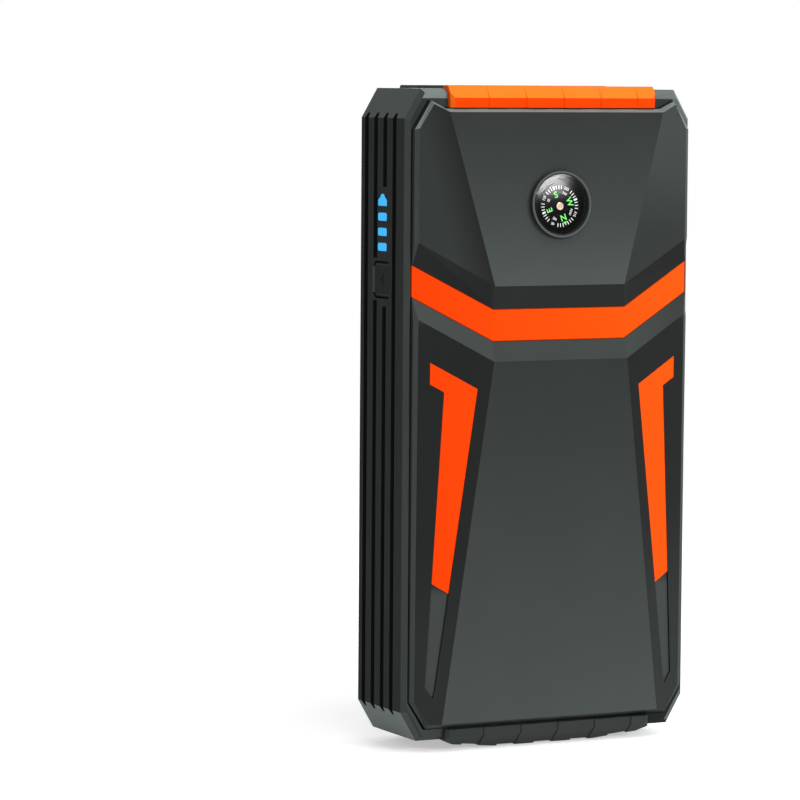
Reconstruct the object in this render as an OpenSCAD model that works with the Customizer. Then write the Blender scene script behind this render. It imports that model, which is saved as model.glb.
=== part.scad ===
// Car jump starter pack: a flat octagonal power bank with a faceted front cover,
// four segmented corner bumpers, a button compass, an end torch and two hinged port covers.
// All modules draw about the middle of the case, with the front towards -Y and the port
// end towards +Z. at_mid() then lifts the case so that it stands on its lower bumpers.

/* [Case] */
// Width of the case across its grooved sides
case_w = 90; // [86:0.5:100]
// Height of the case between its end faces
case_h = 181.3; // [176:0.5:200]
// Depth of the straight side faces
side_t = 27; // [26.5:0.5:32]
// Corner chamfer along the width
corner_x = 4.8; // [3.5:0.1:7]
// Corner chamfer along the height
corner_z = 8.2; // [6:0.1:10]
// How far the front and rear edges are bevelled inwards
bevel_in = 1.16; // [0.8:0.02:1.4]
// How far the bevels stand beyond the side faces
bevel_rise = 1.6; // [1:0.1:1.8]
// Thickness of the side walls and of the lower end wall
wall = 2.6; // [2.3:0.1:3]
// Thickness of the upper end wall, which carries the ports
port_wall = 4.4; // [4:0.1:5]
// Thickness of the back
back_wall = 2.8; // [2.4:0.1:3.4]

/* [Side grooves] */
// Distance between neighbouring grooves
groove_pitch = 5.85; // [5.4:0.05:6.1]
// Width of a groove at the surface
groove_w = 2.3; // [1.6:0.1:2.6]
// Depth of a groove
groove_depth = 0.8; // [0.4:0.1:1.2]
// Middle of the four grooves, behind the middle of the side
groove_mid = 1.33; // [0.8:0.01:1.6]

/* [Front cover] */
// How far the cover's edge lies inside the side faces
cover_inset = 1.65; // [1.6:0.05:3.4]
// Gap between the cover and the case
cover_gap = 0.3; // [0.2:0.05:0.4]
// Skin thickness of the cover
skin = 2.4; // [2:0.1:2.8]
// Rise of the cover's wall above the side faces
rim_rise = 3.2; // [2.8:0.1:3.5]
// Width of the bevel round the cover's edge
edge_bevel = 1.15; // [0.8:0.05:1.4]
// Rise of the upper side facets at the case's side
side_rise = 4; // [3.8:0.1:4.5]
// Rise of the upper facet at its notched top edge
notch_rise = 5.6; // [5:0.1:6]
// Rise of the ridge above the chevron
upper_ridge_rise = 7.9; // [7.4:0.1:8.2]
// Rise of the chevron's flat middle
chevron_rise = 7.3; // [6.8:0.1:7.4]
// Rise of the chevron at the case's side
chevron_side_rise = 2; // [1.8:0.1:2.4]
// Rise of the ridge below the chevron, the highest point of the front
lower_ridge_rise = 8.9; // [8.6:0.1:10]
// Rise of the lower side facets next to the chevron
lower_side_rise = 3.9; // [3.6:0.1:4.2]
// Rise of the lower side facets at the lower corners
foot_side_rise = 3; // [2.8:0.1:3.4]
// Rise of the cover's wall at its lower end
foot_rim_rise = 2.3; // [2:0.1:2.6]

/* [Facet lines] */
// How far the ends of the notch lie inside the cover's edge
notch_inset = 9.65; // [8.4:0.05:10.4]
// Half width of the ridges above and below the chevron
ridge_half = 20.8; // [18:0.1:24]
// How far the lower facet's ends at the bottom edge lie inside the cover's edge
foot_inset = 8.95; // [7.4:0.05:11.4]
// Distance of the upper ridge below the upper end
ridge_drop = 54.45; // [52.6:0.05:56.6]
// Distance of the chevron's upper edge below the upper ridge
chevron_drop = 6.3; // [5.4:0.1:8]
// Width of the chevron band
chevron_w = 9; // [7:0.1:10]
// Distance of the lower ridge below the chevron
lower_drop = 5.5; // [4:0.1:7]
// How far the chevron and its ridges climb towards the sides
chevron_climb = 12.3; // [10:0.1:14]

/* [Side inlays] */
// Depth of the channel in which the side inlays lie
channel_depth = 0.5; // [0.3:0.1:0.8]
// How far the channel's outer corner lies inside the cover's edge
channel_inset = 4.5; // [4.2:0.05:5.2]
// Width of the strip between the lower facet's side edge and the channel
channel_margin = 3.4; // [2.6:0.1:4]
// Distance of the channel's head below the lower ridge
head_drop = 9.9; // [9:0.1:11]
// Height of the channel's head
head_h = 6.2; // [5.4:0.1:7]
// Thickness of the chevron inlay
chevron_t = 1.2; // [0.9:0.1:1.4]
// Gap round every inlay
inlay_gap = 0.08; // [0.04:0.01:0.15]
// Height of the orange inlay's lower end above the lower end
inlay_foot = 44.35; // [36:0.05:56]
// Height of the channel's lower end above the lower end
channel_foot = 15.45; // [15:0.05:24]

/* [Bumpers] */
// How far the ends of every bumper lie inside the side faces
bumper_inset = 12.55; // [12:0.05:15]
// Number of segments along a bumper
bumper_segments = 11; // [7:2:15]
// Relief of every second segment
segment_relief = 0.35; // [0.2:0.05:0.5]
// How far the upper bumpers stand beyond the end face
top_proud = 0.85; // [0.6:0.05:1.2]
// How far the lower bumpers stand beyond the end face
foot_proud = 3; // [2.4:0.1:3.4]
// Rise of the front bumpers
front_bumper_rise = 4; // [3.4:0.1:4.3]
// Rise of the rear bumpers
rear_bumper_rise = 2.8; // [2.2:0.1:3.4]
// Depth of the seats that hold the bumpers in the end walls
bumper_seat = 1.4; // [1:0.1:1.6]
// How far a bumper's end strip reaches behind the edge of the side faces
strip_back = 1.6; // [1.2:0.1:1.8]

/* [Port covers] */
// Width of the jump socket cover
jump_cover_w = 19.4; // [18.6:0.1:20]
// Width of the USB cover
usb_cover_w = 30.9; // [30:0.1:31.4]
// Depth of both covers, front to back
flap_d = 21.6; // [21:0.1:22]
// Corner chamfer of both covers
flap_corner = 2; // [1.6:0.1:2.4]
// Thickness of both covers
flap_t = 2; // [1.8:0.1:2.2]
// Gap round each cover
flap_gap = 0.25; // [0.2:0.01:0.35]
// Middle of the jump socket cover across the case
jump_x = 27.15; // [26.8:0.05:27.6]
// Middle of the USB cover across the case
usb_x = -22.45; // [-22.8:0.05:-22]
// Radius of a hinge pin
pin_r = 0.45; // [0.4:0.05:0.5]
// Running gap between a hinge pin and its barrel
pin_gap = 0.05; // [0.03:0.01:0.08]

/* [Sockets] */
// Distance between the two contacts of the jump socket
contact_pitch = 8.4; // [8:0.1:9]
// Bore radius of a jump socket contact
contact_r = 2.5; // [2:0.05:2.6]
// Depth of a jump socket contact bore
contact_bore = 12; // [10:0.5:13]
// Width of a USB-A mouth
usb_a_w = 12.5; // [12:0.1:12.8]
// Height of a USB-A mouth
usb_a_h = 5.1; // [4.9:0.1:5.3]

/* [Torch] */
// Middle of the torch across the case
torch_x = 5.45; // [5.2:0.05:5.7]
// Radius of the recess round the torch
recess_r = 10.8; // [10.4:0.1:11]
// Depth of the recess down to the lens
recess_depth = 4.6; // [3.5:0.1:5.5]
// Radius of the lens
lens_r = 9.9; // [9:0.1:10]

/* [Compass] */
// Distance of the compass's middle below the upper end
compass_drop = 31.95; // [28.7:0.05:34.6]
// Outer radius of the bezel
bezel_r = 9.5; // [9.2:0.1:10.4]
// Radius of the turning dial
dial_r = 6.4; // [5.6:0.1:6.5]
// Height of the bezel above the cover
bezel_h = 1.65; // [1.5:0.05:2.2]
// How far the dial's pivot sits below the middle of the bezel
dial_drop = 0.5; // [0:0.1:0.6]

/* [Button and gauge] */
// Width of the button, front to back
button_w = 10.6; // [9:0.1:10.8]
// Height of the button
button_h = 9.8; // [9:0.1:11]
// Distance of the button's middle below the upper end
button_drop = 53.25; // [52.7:0.05:54.1]
// Gap round the button
button_gap = 0.3; // [0.25:0.01:0.4]
// Travel of the button
button_travel = 0.5; // [0.3:0.1:0.6]
// Width of a gauge light
light_w = 5.6; // [5:0.1:6]
// Height of a gauge light
light_h = 2.2; // [1.8:0.1:2.6]
// Distance between neighbouring gauge lights
light_pitch = 4.2; // [4:0.1:4.4]

/* [Battery and boards] */
// Room between the cells and each side of the case
cell_side_room = 14; // [13:0.5:17]
// Room between the cells and the lower end wall
cell_foot_room = 4.55; // [3:0.05:12]
// Distance of the cells' upper end below the upper end of the case
cell_drop = 56.15; // [55:0.05:70]
// Thickness of a battery cell
cell_t = 7.2; // [6.4:0.1:7.3]
// Thickness of a printed circuit board
board_t = 1.6; // [1.2:0.1:1.8]

/* [Hidden] */

$fn = 64;
eps = 0.01;
far = 40;

half_w = case_w / 2;
half_h = case_h / 2;
half_t = side_t / 2;
front_reach = half_t + lower_ridge_rise;
back_reach = half_t + rear_bumper_rise;
cover_half_w = half_w - cover_inset;
bumper_half = half_w - bumper_inset;
mid_y = (front_reach - back_reach) / 2;
mid_z = half_h + foot_proud;

plastic = "#3e4342";
dark_plastic = "#2c302f";
orange = "#fb4f12";
steel = "#b8babd";
brass = "#c9a24b";
board_green = "#1f5a3a";
light_blue = "#45b9f9";

// ---------------------------------------------------------------- shared shapes

// Moves what is drawn about the middle of the case to its standing place
module at_mid() translate([0, mid_y, mid_z]) children();

// Prism along Y of an outline in X and Z
module slab(outline, y_from, y_to)
    translate([0, y_to, 0]) rotate([90, 0, 0])
        linear_extrude(y_to - y_from) polygon(outline);

// Prism along X of an outline in Y and Z
module bar(outline, x_from, x_to)
    translate([x_from, 0, 0]) rotate([90, 0, 90])
        linear_extrude(x_to - x_from) polygon(outline);

// Prism along Z of an outline in X and Y
module column(outline, z_from, z_to)
    translate([0, 0, z_from]) linear_extrude(z_to - z_from) polygon(outline);

// Cylinder along Y between two depths
module rod_y(r, y_from, y_to)
    translate([0, y_to, 0]) rotate([90, 0, 0]) cylinder(r = r, h = y_to - y_from);

// Cylinder along X between two places
module rod_x(r, x_from, x_to)
    translate([x_from, 0, 0]) rotate([0, 90, 0]) cylinder(r = r, h = x_to - x_from);

// Centred rectangle with cut corners
function cut_rect(w, h, c) = [
    [w / 2, -h / 2 + c], [w / 2, h / 2 - c], [w / 2 - c, h / 2], [-w / 2 + c, h / 2],
    [-w / 2, h / 2 - c], [-w / 2, -h / 2 + c], [-w / 2 + c, -h / 2], [w / 2 - c, -h / 2]];

// Case octagon in X and Z, every edge moved inwards by t
corner_slant = sqrt(corner_x * corner_x + corner_z * corner_z);
function inset_x(t) = corner_x - t * (1 - (1 - corner_x / corner_slant) * corner_slant / corner_z);
function inset_z(t) = corner_z - t * (1 - (1 - corner_z / corner_slant) * corner_slant / corner_x);
function octagon(t, top = half_h, foot = half_h) = [
    [half_w - t, -foot + t + inset_z(t)], [half_w - t, top - t - inset_z(t)],
    [half_w - t - inset_x(t), top - t], [-half_w + t + inset_x(t), top - t],
    [-half_w + t, top - t - inset_z(t)], [-half_w + t, -foot + t + inset_z(t)],
    [-half_w + t + inset_x(t), -foot + t], [half_w - t - inset_x(t), -foot + t]];

// Solid between two outlines in X and Z with as many corners, the first one further back
module loft(rear_outline, y_rear, front_outline, y_front) {
    n = len(rear_outline);
    points = concat(
        [for (p = rear_outline) [p[0], y_rear, p[1]]],
        [for (p = front_outline) [p[0], y_front, p[1]]]);
    polyhedron(points, concat(
        [[for (i = [0:n - 1]) i]],
        [[for (i = [n - 1:-1:0]) n + i]],
        [for (i = [0:n - 1]) [i, n + i, n + (i + 1) % n, (i + 1) % n]]));
}

// ---------------------------------------------------------------- front cover surface

// Rise at [x, z] on the plane through three points given as [x, rise, z]
function on_plane(a, b, c, x, z) =
    let (ux = b[0] - a[0], uz = b[2] - a[2], ur = b[1] - a[1],
        vx = c[0] - a[0], vz = c[2] - a[2], vr = c[1] - a[1],
        det = ux * vz - uz * vx,
        slope_x = (ur * vz - vr * uz) / det,
        slope_z = (vr * ux - ur * vx) / det)
    a[1] + slope_x * (x - a[0]) + slope_z * (z - a[2]);

// Lines across the front, from the upper end downwards
notch_half = cover_half_w - notch_inset;
foot_half = cover_half_w - foot_inset;
upper_ridge_z = half_h - ridge_drop;
chevron_top_z = upper_ridge_z - chevron_drop;
lower_ridge_z = chevron_top_z - chevron_w - lower_drop;
compass_z = half_h - compass_drop;
button_z = half_h - button_drop;

// Where the cover's corners lie: their own chamfers follow the case's corners
face_half = cover_half_w - edge_bevel;
rim_side_z = half_h - corner_z - 2.95;
rim_corner = [half_w - corner_x - 1.8, half_h - 3.25];
notch_z = half_h - 5.45;
rim_foot_z = -half_h + 3.55;
rim_foot_side_z = -half_h + corner_z + 3.05;
face_foot_z = rim_foot_z + 1.3;

upper_side = [face_half, side_rise, rim_side_z + 0.3];
notch = [notch_half, notch_rise, notch_z - 0.9];
upper_ridge = [ridge_half - 0.3, upper_ridge_rise, upper_ridge_z];
lower_ridge = [ridge_half + 0.3, lower_ridge_rise, lower_ridge_z];
lower_side = [face_half, lower_side_rise, lower_ridge_z + chevron_climb - 0.5];
foot_side = [face_half, foot_side_rise, rim_foot_side_z + 0.2];

// Corners of the right half as [x, rise, z]
face_corner_z = rim_corner[1] - 0.9;
face_corner_x = rim_corner[0] - 0.2;
face_foot_x = rim_corner[0] - 0.4;
upper_side_low_z = upper_ridge_z + chevron_climb - 0.1;
half_points = [
    /* 0 */ [cover_half_w, rim_rise, rim_side_z],
    /* 1 */ [rim_corner[0], rim_rise, rim_corner[1]],
    /* 2 */ [notch_half + 0.2, rim_rise, notch_z],
    /* 3 */ upper_side,
    /* 4 */ [face_corner_x, on_plane(upper_side, notch, upper_ridge, face_corner_x, face_corner_z),
        face_corner_z],
    /* 5 */ notch,
    /* 6 */ upper_ridge,
    /* 7 */ [face_half, on_plane(upper_side, notch, upper_ridge, face_half, upper_side_low_z),
        upper_side_low_z],
    /* 8 */ [cover_half_w, rim_rise, upper_side_low_z + 0.6],
    /* 9 */ [cover_half_w, chevron_side_rise, chevron_top_z + chevron_climb],
    /* 10 */ [cover_half_w, chevron_side_rise, chevron_top_z + chevron_climb - chevron_w],
    /* 11 */ [cover_half_w, rim_rise - 0.1, lower_side[2] - 0.6],
    /* 12 */ [ridge_half, chevron_rise, chevron_top_z],
    /* 13 */ [ridge_half, chevron_rise, chevron_top_z - chevron_w],
    /* 14 */ lower_ridge,
    /* 15 */ lower_side,
    /* 16 */ foot_side,
    /* 17 */ [face_foot_x, on_plane(lower_ridge, lower_side, foot_side, face_foot_x, face_foot_z),
        face_foot_z],
    /* 18 */ [foot_half, on_plane(lower_ridge, lower_side, foot_side, foot_half, face_foot_z),
        face_foot_z],
    /* 19 */ [cover_half_w, foot_rim_rise, rim_foot_side_z],
    /* 20 */ [rim_corner[0], foot_rim_rise, rim_foot_z]];
half_count = len(half_points);

// Facets of the right half, corners anticlockwise as seen from the front
half_facets = [
    [7, 3, 4, 5, 6],
    [12, 9, 7, 6], [9, 8, 7],
    [13, 10, 9, 12],
    [14, 15, 10, 13], [15, 11, 10],
    [14, 18, 17, 16, 15],
    [7, 8, 0, 3], [3, 0, 1, 4], [4, 1, 2, 5],
    [15, 16, 19, 11], [16, 17, 20, 19], [17, 18, 20]];

// Facets across the middle: a right corner pair, then the mirrored pair
middle_pairs = [[5, 6], [6, 12], [12, 13], [13, 14], [14, 18], [18, 20], [2, 5]];

// Wall outline of the right half, from the lower end upwards
half_rim = [20, 19, 11, 10, 9, 8, 0, 1, 2];
rim_loop = concat(half_rim,
    [for (i = [len(half_rim) - 1:-1:0]) half_rim[i] + half_count]);

function reversed(list) = [for (i = [len(list) - 1:-1:0]) list[i]];
function point_at(p) = [p[0], -half_t - p[1], p[2]];

// Solid under the faceted front, down to a flat back at the given depth
module facet_solid(y_back) {
    points = concat(
        [for (p = half_points) point_at(p)],
        [for (p = half_points) point_at([-p[0], p[1], p[2]])]);
    count = len(points);
    rim_n = len(rim_loop);
    wall_points = [for (i = rim_loop) [points[i][0], y_back, points[i][2]]];
    faces = concat(
        [for (f = half_facets) reversed(f)],
        [for (f = half_facets) [for (i = f) i + half_count]],
        [for (m = middle_pairs) [m[0], m[1], m[1] + half_count, m[0] + half_count]],
        [for (i = [0:rim_n - 1]) [rim_loop[i], rim_loop[(i + 1) % rim_n],
            count + (i + 1) % rim_n, count + i]],
        [[for (i = [0:rim_n - 1]) count + i]]);
    polyhedron(concat(points, wall_points), faces);
}

// Layer of the front under a 2-D shape in X and Z, between two depths under its facets
module facet_layer(from, to)
    intersection() {
        rotate([90, 0, 0]) linear_extrude(far) children();
        difference() {
            translate([0, from, 0]) facet_solid(-half_t + 4);
            translate([0, to, 0]) facet_solid(-half_t + 6);
        }
    }

// Chevron band in X and Z, its long edges moved outwards by grow
function chevron_line(top) = [
    [cover_half_w + 1, top + chevron_climb + chevron_climb / (cover_half_w - ridge_half)],
    [ridge_half, top], [-ridge_half, top],
    [-cover_half_w - 1, top + chevron_climb + chevron_climb / (cover_half_w - ridge_half)]];
function chevron_band(grow) = concat(chevron_line(chevron_top_z + grow),
    reversed(chevron_line(chevron_top_z - chevron_w - grow)));

// Side channel in X and Z: a head cut in line with the ridge, and a long tail that narrows
// between the lower facet's side edge and the case's side
edge_lean = (foot_half - lower_ridge[0]) / (lower_ridge_z - face_foot_z);
ridge_climb = (lower_side[2] - lower_ridge_z) / (lower_side[0] - lower_ridge[0]);
channel_out = cover_half_w - channel_inset;
head_in = lower_ridge[0]
    + (channel_margin + edge_lean * head_drop) / (1 + edge_lean * ridge_climb);
neck_x = channel_out - 3.95;
tail_flare = 0.0536;
channel_foot_z = -half_h + channel_foot;
inlay_foot_z = -half_h + inlay_foot;
function head_z(x) = lower_ridge_z - head_drop + (x - lower_ridge[0]) * ridge_climb;
function tail_in(z) = lower_ridge[0] + channel_margin + edge_lean * (lower_ridge_z - z);
function tail_out(z) = neck_x + tail_flare * (head_z(neck_x) - head_h - z);
module side_channel(foot) polygon(concat([
    [neck_x, head_z(neck_x) - head_h], [channel_out, head_z(channel_out) - head_h],
    [channel_out, head_z(channel_out)], [head_in, head_z(head_in)]], foot));
inlay_end = [[tail_in(inlay_foot_z - 2.9), inlay_foot_z - 2.9], [tail_out(inlay_foot_z), inlay_foot_z]];
channel_end = [[tail_in(channel_foot_z - 1.2), channel_foot_z - 1.2],
    [tail_out(channel_foot_z) - 2.2, channel_foot_z - 3.2], [tail_out(channel_foot_z), channel_foot_z]];

// ---------------------------------------------------------------- compass placement

facet_tilt = atan((upper_ridge_rise - notch_rise) / (notch[2] - upper_ridge_z));
compass_rise = upper_ridge_rise
    - (compass_z - upper_ridge_z) * (upper_ridge_rise - notch_rise) / (notch[2] - upper_ridge_z);

// Local +Z leaves the upper facet at the compass
module on_compass()
    translate([0, -half_t - compass_rise, compass_z]) rotate([90 - facet_tilt, 0, 0]) children();

bezel_wall = 1.05;
neck_r = bezel_r - 0.6;
capsule_r = neck_r - 0.7;
capsule_depth = 5.2;
capsule_wall = 0.8;
dial_t = 0.5;
hub_r = 1;
pivot_r = 0.4;
lens_seat_z = bezel_h - 0.8;
lens_edge = 0.6;
dome_h = 0.45;
dial_z = lens_seat_z - 1.25;
pivot_tip_z = dial_z + 0.15;
glass_r = bezel_r - bezel_wall - 0.05;
dome_r = (glass_r * glass_r + dome_h * dome_h) / (2 * dome_h);

// ---------------------------------------------------------------- case

ledge_w = 1.2;
ledge_y = -half_t + 2;
seal_t = 0.8;
cover_back_y = ledge_y - seal_t;
flange_t = 2;
cavity_back_y = half_t + bevel_rise - back_wall;

// Opening in X and Z that takes the front cover, its edges moved inwards by t
function opening(t) = [
    [cover_half_w + cover_gap - t, rim_foot_side_z],
    [cover_half_w + cover_gap - t, rim_side_z],
    [rim_corner[0] + cover_gap - t, rim_corner[1] + cover_gap - t],
    [notch_half + 0.2 + cover_gap, notch_z + cover_gap - t],
    [-notch_half - 0.2 - cover_gap, notch_z + cover_gap - t],
    [-rim_corner[0] - cover_gap + t, rim_corner[1] + cover_gap - t],
    [-cover_half_w - cover_gap + t, rim_side_z],
    [-cover_half_w - cover_gap + t, rim_foot_side_z],
    [-rim_corner[0] - cover_gap + t, rim_foot_z - cover_gap + t],
    [rim_corner[0] + cover_gap - t, rim_foot_z - cover_gap + t]];

// Screws that hold the cover, in X and Z
screw_x = cover_half_w - 4.75;
screw_places = [for (side = [-1, 1]) for (z = [-half_h + 14.65, 0, half_h - 12.15])
    [side * screw_x, z]];
post_r = 2.7;
post_top_y = -6;
screw_r = 1.3;
screw_head_r = 2.5;
screw_head_y = cavity_back_y + 1;
screw_tip_y = -half_t - 1;

module at_places(places) for (p = places) translate([p[0], 0, p[1]]) children();

// Trapezoid groove along the side, at y, between two heights
module groove(y, z_from, z_to) {
    floor_w = groove_w * 0.6;
    column([[-half_w - eps, y - groove_w / 2], [-half_w + groove_depth, y - floor_w / 2],
        [-half_w + groove_depth, y + floor_w / 2], [-half_w - eps, y + groove_w / 2],
        [-half_w - 5, y + groove_w / 2], [-half_w - 5, y - groove_w / 2]], z_from, z_to);
}

groove_y = [for (i = [0:3]) groove_mid + (i - 1.5) * groove_pitch];
gauge_top_z = button_z + 25.9;
gauge_foot_z = button_z - 7.4;

module side_grooves() {
    for (i = [0, 3]) groove(groove_y[i], -half_h, half_h);
    groove(groove_y[1], gauge_top_z, half_h);
    groove(groove_y[1], -half_h, gauge_foot_z);
    groove(groove_y[2], button_z + 6, half_h);
    groove(groove_y[2], -half_h, button_z - 5.9);
    mirror([1, 0, 0]) for (y = groove_y) groove(y, -half_h, half_h);
}

// Hinge axis of a port cover: its front edge is rounded about the pin
barrel_r = flap_t / 2;
hinge_y = -flap_d / 2 + barrel_r;
hinge_z = half_h - barrel_r;
flap_seat = flap_t + 0.2;
port_floor = flap_seat + 0.9;
pocket_front = hinge_y + barrel_r + 1.1;
pocket_back = flap_d / 2 - 1.3;
pocket_mid = (pocket_front + pocket_back) / 2;
pocket_d = pocket_back - pocket_front;
notch_w = 9.3;

shoulder_y = hinge_y + barrel_r + 0.3;

// Outline of a cover in X and Y, grown by g: it steps in at the front, beside the hinge lugs
function flap_outline(w, g) = [
    [w / 2 - flap_corner + g, -flap_d / 2 - g], [w / 2 - flap_corner + g, shoulder_y - g],
    [w / 2 + g, shoulder_y - g], [w / 2 + g, flap_d / 2 - flap_corner],
    [w / 2 - flap_corner, flap_d / 2 + g], [-w / 2 + flap_corner, flap_d / 2 + g],
    [-w / 2 - g, flap_d / 2 - flap_corner], [-w / 2 - g, shoulder_y - g],
    [-w / 2 + flap_corner - g, shoulder_y - g], [-w / 2 + flap_corner - g, -flap_d / 2 - g]];

// Stepped pocket in the upper end for one port cover, with a round hinge lug at each end
module cover_pocket(x, w, pocket_w) translate([x, 0, 0]) {
    column(flap_outline(w, flap_gap), half_h - flap_seat, half_h + 1);
    translate([0, hinge_y, hinge_z]) {
        rod_x(barrel_r + flap_gap, -w / 2 + flap_corner - flap_gap, w / 2 - flap_corner + flap_gap);
        rod_x(pin_r + 0.02, -w / 2 - 1.2, w / 2 + 1.2);
        difference() {
            translate([-w / 2 - flap_gap, 0, -barrel_r - 0.2])
                cube([w + 2 * flap_gap, barrel_r + 0.1, 2 * barrel_r + 1]);
            rod_x(barrel_r, -w, w);
        }
    }
    translate([0, pocket_mid, 0])
        column(cut_rect(pocket_w, pocket_d, 1), half_h - port_floor, half_h);
}

// Finger notch behind a cover
module finger_notch(x)
    translate([x, flap_d / 2, half_h + 2.2]) rod_x(3, -notch_w / 2, notch_w / 2);

// Bumper seat in one corner of the case, drawn for the upper front
module bumper_cut(low) {
    seat_gap = 0.05;
    bar([[-half_t - far, half_h + far], [-half_t + strip_back + seat_gap, half_h + far],
        [-half_t + strip_back + seat_gap, half_h - bumper_seat], [-half_t, half_h - bumper_seat],
        [-half_t, half_h - low - seat_gap], [-half_t - far, half_h - low - seat_gap]],
        -bumper_half - 0.1, bumper_half + 0.1);
}
top_low = half_h - notch_z - 0.3;
foot_low = rim_foot_z + half_h - 0.45;

socket_x = jump_x;
socket_y = pocket_mid;
socket_w = 9.6;
socket_d = 16.2;
socket_face = port_floor + 0.3;
usb_a_x = usb_x + 4.85;
usb_a_y = [pocket_mid - 4.1, pocket_mid + 4.1];
usb_a_wall = 0.35;
usb_c_x = usb_x - 8.5;
usb_c_w = 9;
usb_c_h = 3.3;
usb_depth = 14;
usb_face = port_floor + 0.2;
port_board_z = half_h - usb_face - usb_depth;
port_posts = [[usb_x + 13.4, 7.7], [usb_x + 13.4, -7.7], [usb_x - 10.6, 7.7], [usb_x - 10.6, -7.7]];
small_screw_r = 0.8;

torch_tube_r = 11.4;
torch_bore_r = lens_r + 0.1;
torch_bottom = recess_depth + 11.5;

flange_gap = 0.3;
button_flange = 1;
plunger_h = 1.9;
cell_w = case_w - 2 * cell_side_room;
cell_foot_z = -half_h + wall + cell_foot_room;
cell_top_z = half_h - cell_drop;
cell_l = cell_top_z - cell_foot_z;
stack_mid_z = (cell_top_z + cell_foot_z) / 2;
rib_reach = cell_l / 4;

board_x = -half_w + wall + flange_gap + button_flange + button_travel + 0.3 + plunger_h;
gauge_posts = [[1, button_z - 11.2], [1, button_z + 29.2]];

// Outline in Y and Z of one gauge light: the top one has a shouldered neck
light_neck = [[light_w / 2, -1.15], [light_w / 2, 0.45], [1.25, 1.5], [1.1, 1.95], [0.7, 2.15]];
function light_outline(i, grow) = i < 3
    ? [for (p = cut_rect(light_w + 2 * grow, light_h + 2 * grow, 0.4)) [p[0], p[1] + light_z(i)]]
    : concat(
        [for (p = light_neck) [p[0] + grow, light_z(3) + p[1] + (p[1] < 0 ? -grow : grow)]],
        [for (p = reversed(light_neck)) [-p[0] - grow, light_z(3) + p[1] + (p[1] < 0 ? -grow : grow)]]);
function light_z(i) = button_z + 9.15 + i * light_pitch;

module case_shell() difference() {
    union() {
        slab(octagon(0), -half_t, half_t);
        loft(octagon(0), -half_t + eps, octagon(bevel_in), -half_t - bevel_rise);
        loft(octagon(bevel_in), half_t + bevel_rise, octagon(0), half_t - eps);
    }
    slab(octagon(wall, half_h - port_wall + wall), ledge_y + flange_t, cavity_back_y);
    slab(opening(ledge_w), ledge_y - eps, ledge_y + flange_t + eps);
    slab(opening(0), -far, ledge_y);
    side_grooves();
    bumper_cut(top_low);
    mirror([0, 1, 0]) bumper_cut(top_low);
    mirror([0, 0, 1]) bumper_cut(foot_low);
    mirror([0, 0, 1]) mirror([0, 1, 0]) bumper_cut(foot_low);
}

module rear_case() color(plastic) at_mid() difference() {
    union() {
        case_shell();
        at_places(screw_places) rod_y(post_r, post_top_y, cavity_back_y + eps);
        translate([torch_x, 0, half_h - torch_bottom])
            cylinder(r = torch_tube_r, h = torch_bottom - port_wall + eps);
        for (p = port_posts)
            translate([p[0], p[1], port_board_z])
                cylinder(r = 1.6, h = half_h - port_wall - port_board_z + eps);
        for (p = gauge_posts)
            translate([0, p[0], p[1]]) rod_x(1.8, -half_w + wall - eps, board_x);
        // ribs that locate the battery stack
        for (side = [-1, 1]) for (z = [-rib_reach, rib_reach])
            translate([side * (cell_w / 2 + 1.2), cavity_back_y - 4, stack_mid_z + z])
                cube([1.6, 8 + eps, 10], center = true);
    }
    at_places(screw_places) {
        rod_y(screw_r + 0.15, post_top_y - 1, half_t + far);
        rod_y(screw_head_r + 0.15, screw_head_y, half_t + far);
    }
    cover_pocket(jump_x, jump_cover_w, 14.6);
    cover_pocket(usb_x, usb_cover_w, 26.6);
    finger_notch(usb_x);
    finger_notch(jump_x);
    translate([socket_x, socket_y, 0])
        column(cut_rect(socket_w + 0.2, socket_d + 0.2, 1.5), half_h - port_wall - 1, half_h);
    for (y = usb_a_y) translate([usb_a_x, y, 0])
        column(cut_rect(usb_a_w + 2 * usb_a_wall + 0.2, usb_a_h + 2 * usb_a_wall + 0.2, 0.3),
            port_board_z, half_h);
    translate([usb_c_x, pocket_mid, 0])
        column(cut_rect(usb_c_w + 0.2, usb_c_h + 0.2, 1.2), port_board_z, half_h);
    for (p = port_posts) translate([p[0], p[1], port_board_z - eps])
        cylinder(r = small_screw_r, h = 6);
    translate([torch_x, 0, 0]) {
        translate([0, 0, half_h - recess_depth]) cylinder(r = recess_r, h = far);
        translate([0, 0, half_h - torch_bottom + 1.2]) cylinder(r = torch_bore_r, h = torch_bottom);
        translate([0, 0, half_h - torch_bottom - 1]) cylinder(r = 7.5, h = torch_bottom);
    }
    // button opening and gauge windows in the -X side
    translate([0, 0, button_z])
        bar(cut_rect(button_w + 2 * button_gap, button_h + 2 * button_gap, 1.6), -half_w - 1,
            -half_w + wall + 1);
    for (i = [0:3]) bar(light_outline(i, 0.08), -half_w - 1, -half_w + wall + 1);
    for (p = gauge_posts) translate([0, p[0], p[1]]) rod_x(small_screw_r, -half_w + wall, board_x + 1);
}

// Ring between the case's ledge and the cover
module case_seal() color("#1c1d1d") at_mid() difference() {
    slab(opening(0.5), cover_back_y, ledge_y);
    slab(opening(1.1), cover_back_y - 1, ledge_y + 1);
}

module case_screws() color(steel) at_mid() at_places(screw_places) {
    rod_y(screw_r, screw_tip_y, screw_head_y + eps);
    difference() {
        rod_y(screw_head_r, screw_head_y, screw_head_y + 1.8);
        translate([0, screw_head_y + 1, 0]) cross_recess(2.6, 0.7, 1);
    }
}

// Cross recess opening towards +Y
module cross_recess(w, t, depth)
    for (a = [0, 90]) rotate([0, a, 0])
        translate([-w / 2, 0, -t / 2]) cube([w, depth, t]);

// ---------------------------------------------------------------- front cover

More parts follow.
